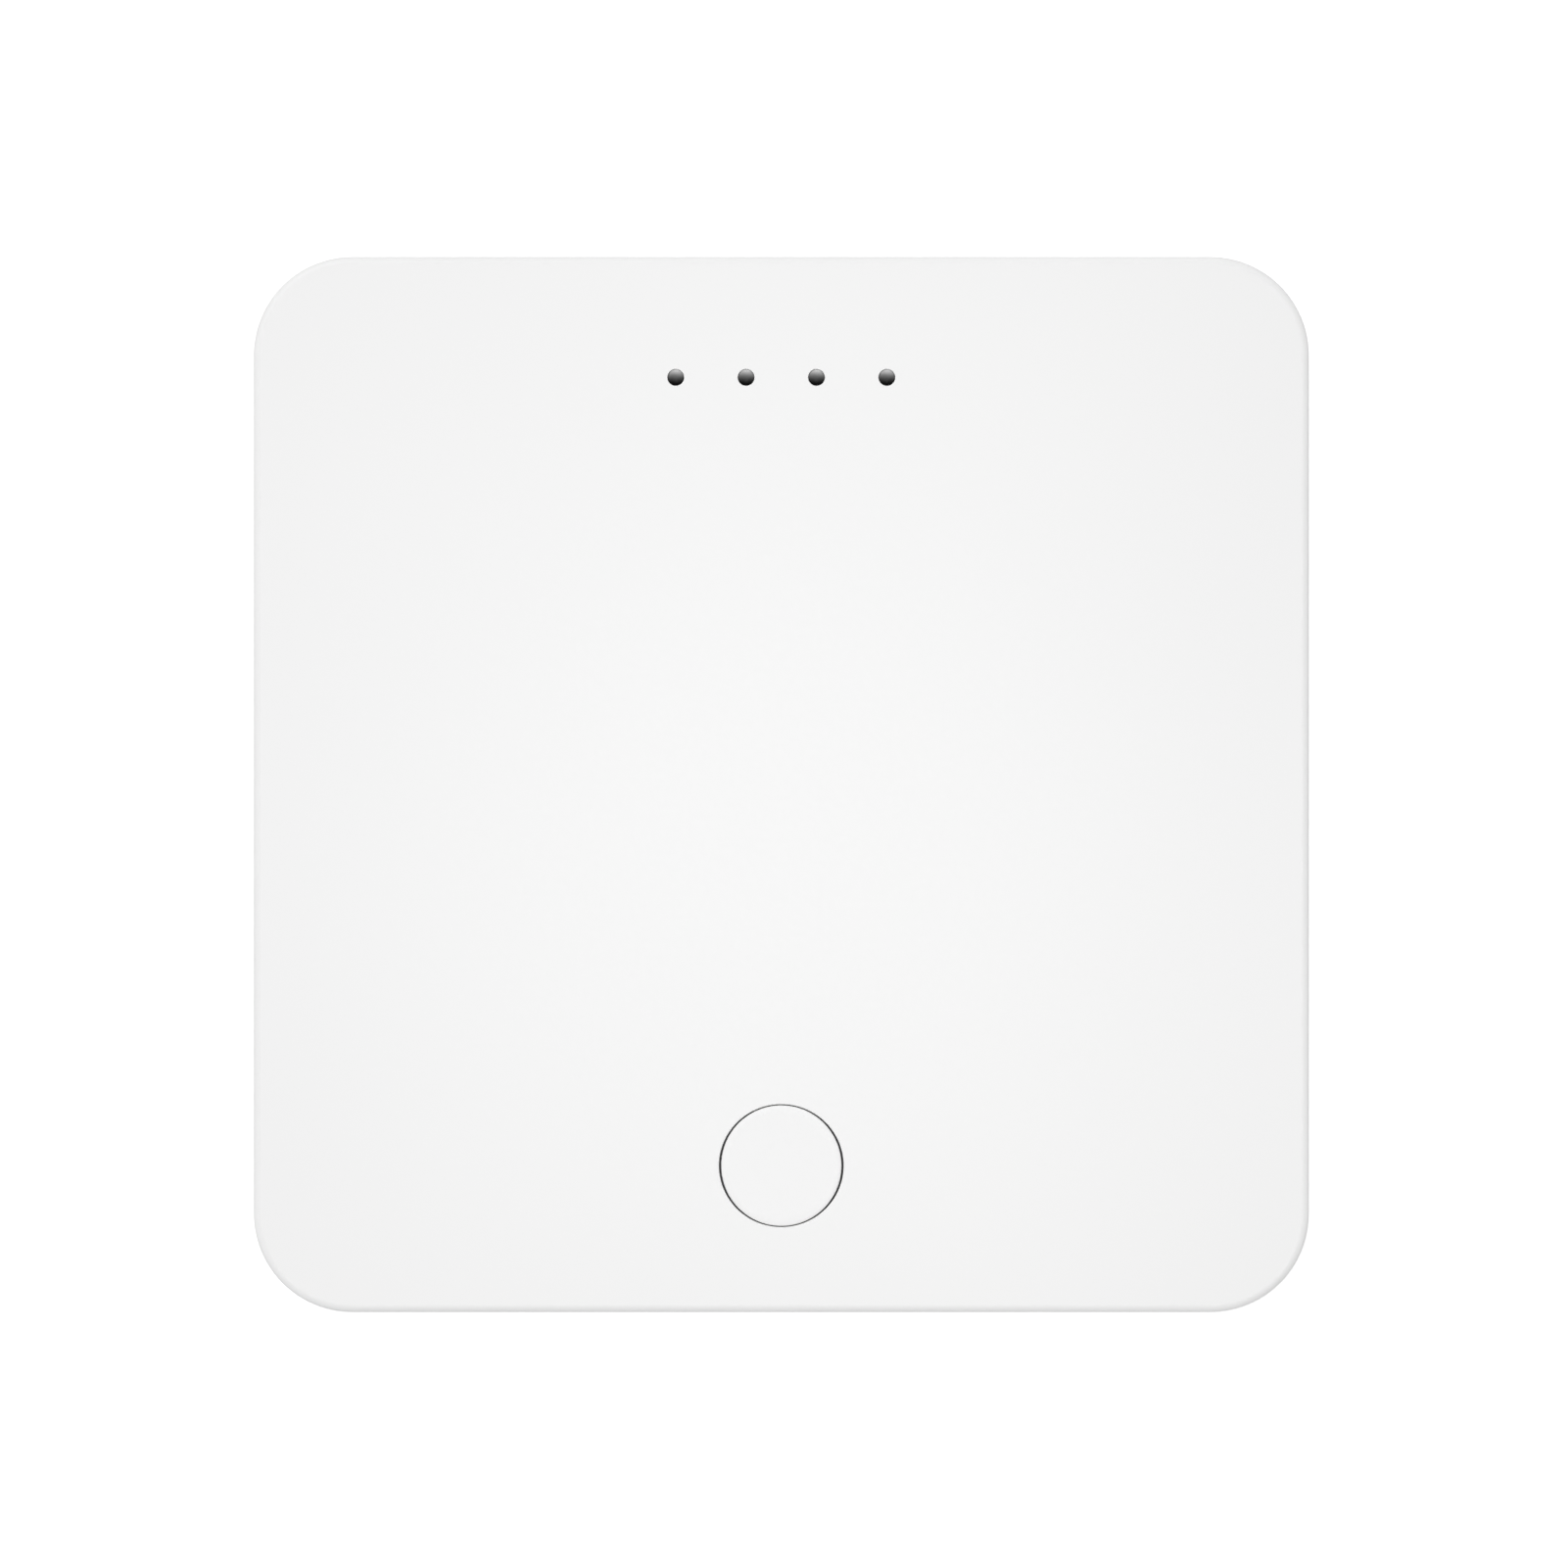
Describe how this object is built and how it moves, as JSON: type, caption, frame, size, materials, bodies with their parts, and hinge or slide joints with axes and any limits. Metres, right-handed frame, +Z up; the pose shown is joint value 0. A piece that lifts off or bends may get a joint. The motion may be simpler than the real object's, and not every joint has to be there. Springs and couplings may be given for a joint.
{
  "type": "smart home hub",
  "caption": "Flat square white hub with rounded corners, indicator lights, a round push button, a wired network socket, a power socket and rubber feet.",
  "frame": {"origin": "middle of the footprint, on the plane that the rubber feet stand on", "axes": "+Z up out of the top face; +Y towards the rear wall with its sockets; +X to the right seen from the front, where the button is"},
  "size_m": [0.09, 0.09, 0.023],
  "materials": {
    "white_plastic": "satin white moulding with a very fine spark texture",
    "black_plastic": "satin black moulding",
    "smoked_acrylic": "smoked, polished light pipe",
    "grey_rubber": "matt soft rubber",
    "label_film": "blank satin film",
    "board_green": "solder mask on glass epoxy",
    "chip_epoxy": "matt moulded epoxy",
    "steel": "zinc plated",
    "tinned_sheet": "tin plated pressed sheet",
    "gold": "gold plated",
    "led_white": "clear resin over a pale package",
    "lamp_green": "tinted clear resin",
    "lamp_amber": "tinted clear resin",
    "aluminium_can": "drawn can"
  },
  "bodies": {
    "hub": {"top_cover": "white_plastic", "bottom_cover": "white_plastic", "rating_label": "label_film", "rubber_foot_1": "grey_rubber", "rubber_foot_2": "grey_rubber", "rubber_foot_3": "grey_rubber", "rubber_foot_4": "grey_rubber", "case_screw_1": "steel", "case_screw_2": "steel", "case_screw_3": "steel", "case_screw_4": "steel", "main_board": "board_green", "board_screw_1": "steel", "board_screw_2": "steel", "board_screw_3": "steel", "board_screw_4": "steel", "main_processor": "chip_epoxy", "memory_chip": "chip_epoxy", "flash_chip": "chip_epoxy", "ethernet_transformer": "chip_epoxy", "power_inductor": "chip_epoxy", "voltage_regulator": "chip_epoxy", "clock_crystal": "steel", "bulk_capacitor_1": "aluminium_can", "bulk_capacitor_2": "aluminium_can", "radio_board": "board_green", "radio_shield": "tinned_sheet", "status_led_1": "led_white", "status_led_2": "led_white", "status_led_3": "led_white", "status_led_4": "led_white", "light_pipe_1": "smoked_acrylic", "light_pipe_2": "smoked_acrylic", "light_pipe_3": "smoked_acrylic", "light_pipe_4": "smoked_acrylic", "light_pipe_holder": "black_plastic", "switch_base": "black_plastic", "switch_dome": "steel", "switch_frame": "tinned_sheet", "ethernet_shield": "tinned_sheet", "ethernet_insert": "black_plastic", "ethernet_lamp_left": "lamp_green", "ethernet_lamp_right": "lamp_amber", "ethernet_contact_1": "gold", "ethernet_contact_2": "gold", "ethernet_contact_3": "gold", "ethernet_contact_4": "gold", "ethernet_contact_5": "gold", "ethernet_contact_6": "gold", "ethernet_contact_7": "gold", "ethernet_contact_8": "gold", "usb_shell": "tinned_sheet", "usb_tongue": "black_plastic"},
    "button": {"button_cap": "white_plastic"},
    "plunger": {"switch_plunger": "black_plastic"}
  },
  "joints": [
    {"name": "button_press", "type": "slide", "parent": "hub", "child": "button", "axis": [0, 0, -1], "range_m": [0, 0.0004], "stiffness_N_per_m": 4000},
    {"name": "plunger_press", "type": "slide", "parent": "hub", "child": "plunger", "axis": [0, 0, -1], "range_m": [0, 0.0004], "deforming": ["switch_dome"]}
  ],
  "couplings": [
    {"joint": "plunger_press", "follows": "button_press", "ratio": 1}
  ]
}
